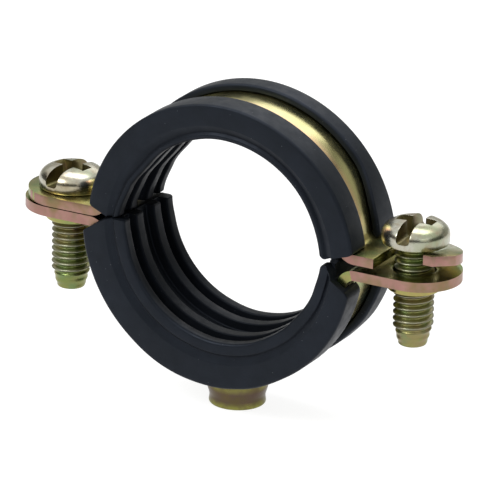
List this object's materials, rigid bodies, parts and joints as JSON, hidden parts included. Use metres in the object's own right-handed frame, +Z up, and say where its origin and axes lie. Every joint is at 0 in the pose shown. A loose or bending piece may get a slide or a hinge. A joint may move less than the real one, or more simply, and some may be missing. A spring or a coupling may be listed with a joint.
{
  "type": "rubber lined pipe clamp",
  "caption": "Rubber lined pipe clamp: hinged steel half bands with flat screw ears, one of them open to the side, ribbed linings and a threaded boss for a hanging rod.",
  "frame": {"origin": "on the pipe's axis as the lower half holds it, halfway along the clamp", "axes": "+X from the pivot screw to the side-open ear, +Y along the pipe, away from the slot's mouth, +Z up, away from the rod boss"},
  "size_m": [0.0716, 0.0151, 0.0483],
  "materials": {
    "band_steel": "zinc plated, yellow passivated",
    "lining_rubber": "matt, moulded",
    "screw_steel": "zinc plated, yellow passivated",
    "boss_steel": "zinc plated, yellow passivated"
  },
  "bodies": {
    "lower_half": {"lower_band": "band_steel", "lower_lining": "lining_rubber", "rod_boss": "boss_steel"},
    "upper_half": {"upper_band": "band_steel", "upper_lining": "lining_rubber"},
    "left_screw": {"left_screw": "screw_steel"},
    "right_screw": {"right_screw": "screw_steel"}
  },
  "joints": [
    {"name": "upper_half_swing", "type": "hinge", "parent": "lower_half", "child": "upper_half", "pos_m": [-0.02875, 0, 0], "axis": [0, 0, 1], "range_deg": [0, 345]},
    {"name": "left_screw_turn", "type": "hinge", "parent": "lower_half", "child": "left_screw", "pos_m": [-0.02875, 0, 0], "axis": [0, 0, 1], "range_deg": [0, 4770]},
    {"name": "right_screw_turn", "type": "hinge", "parent": "lower_half", "child": "right_screw", "pos_m": [0.02875, 0, 0], "axis": [0, 0, 1], "range_deg": [0, 4770]}
  ]
}
